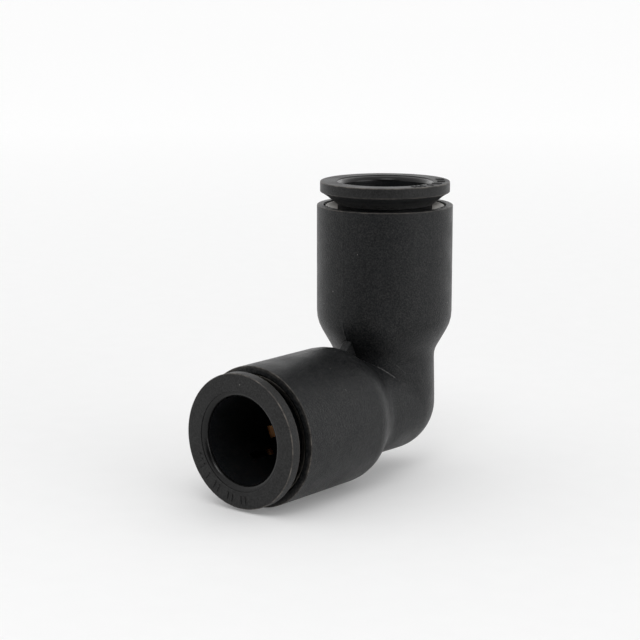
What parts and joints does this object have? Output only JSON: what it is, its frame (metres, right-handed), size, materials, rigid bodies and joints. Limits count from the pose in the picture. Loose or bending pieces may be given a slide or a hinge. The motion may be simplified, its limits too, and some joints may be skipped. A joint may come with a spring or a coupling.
{
  "type": "push to connect elbow fitting",
  "caption": "Right-angle push-in tube union with equal sockets, spring-back release sleeves, metal end collars, toothed grab rings and rubber seals in a black moulded body.",
  "frame": {"origin": "middle of the bounding box in X and Y, at the level of the lowest point of the body, which is the underside of the front socket's cylinder", "axes": "+Z runs along the top socket's axis and out of its mouth, -Y runs along the front socket's axis and out of its mouth, and X is square to the plane of the two axes, which cross at y 7.425 mm, z 6.5 mm"},
  "size_m": [0.013, 0.0278, 0.0279],
  "materials": {
    "body_nylon": "fine matte moulded texture",
    "sleeve_acetal": "satin moulded surface, glossier in the bore's lead-in",
    "collar_nickel": "turned and nickel plated",
    "grab_bronze": "stamped spring bronze",
    "support_acetal": "satin moulded surface",
    "seal_rubber": "smooth nitrile rubber, lightly greased"
  },
  "bodies": {
    "housing": {"elbow_body": "body_nylon", "top_end_collar": "collar_nickel", "top_support_ring": "support_acetal", "top_seal_ring": "seal_rubber", "front_end_collar": "collar_nickel", "front_support_ring": "support_acetal", "front_seal_ring": "seal_rubber"},
    "top_gripper": {"top_grab_ring": "grab_bronze"},
    "top_sleeve": {"top_release_sleeve": "sleeve_acetal"},
    "front_gripper": {"front_grab_ring": "grab_bronze"},
    "front_sleeve": {"front_release_sleeve": "sleeve_acetal"}
  },
  "joints": [
    {"name": "top_swivel", "type": "hinge", "parent": "housing", "child": "top_gripper", "pos_m": [0, 0.00743, 0.01945], "axis": [0, 0, 1], "continuous": true},
    {"name": "top_press", "type": "slide", "parent": "top_gripper", "child": "top_sleeve", "axis": [0, 0, -1], "range_m": [0, 0.0009], "stiffness_N_per_m": 800, "springref_m": -0.0004, "deforming": ["top_grab_ring"]},
    {"name": "front_swivel", "type": "hinge", "parent": "housing", "child": "front_gripper", "pos_m": [0, -0.00553, 0.0065], "axis": [0, -1, 0], "continuous": true},
    {"name": "front_press", "type": "slide", "parent": "front_gripper", "child": "front_sleeve", "axis": [0, 1, 0], "range_m": [0, 0.0009], "stiffness_N_per_m": 800, "springref_m": -0.0004, "deforming": ["front_grab_ring"]}
  ]
}
